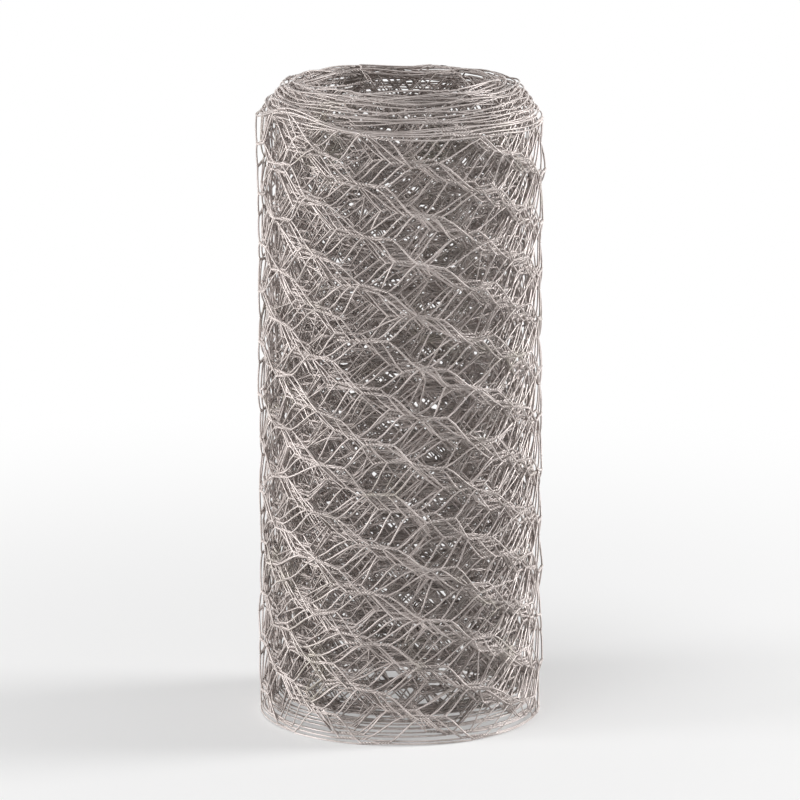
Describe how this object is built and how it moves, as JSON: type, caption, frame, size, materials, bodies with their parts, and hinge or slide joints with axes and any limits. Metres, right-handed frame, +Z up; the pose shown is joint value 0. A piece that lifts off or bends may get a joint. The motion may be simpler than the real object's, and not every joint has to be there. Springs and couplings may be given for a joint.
{
  "type": "roll of chicken wire",
  "caption": "Roll of galvanised hexagonal wire netting standing on its end, with an open bore and turns that step down around the upper rim.",
  "frame": {"origin": "centre of the end the roll stands on, at floor level", "axes": "+Z up along the roll's axis; the netting's free end lies towards +X +Y, on the side away from the picture's camera, which looks along +Y"},
  "size_m": [0.1422, 0.1417, 0.3192],
  "materials": {
    "galvanised_wire": "dull warm grey galvanised wire"
  },
  "bodies": {
    "root": {"netting_roll": "galvanised_wire"}
  },
  "joints": []
}
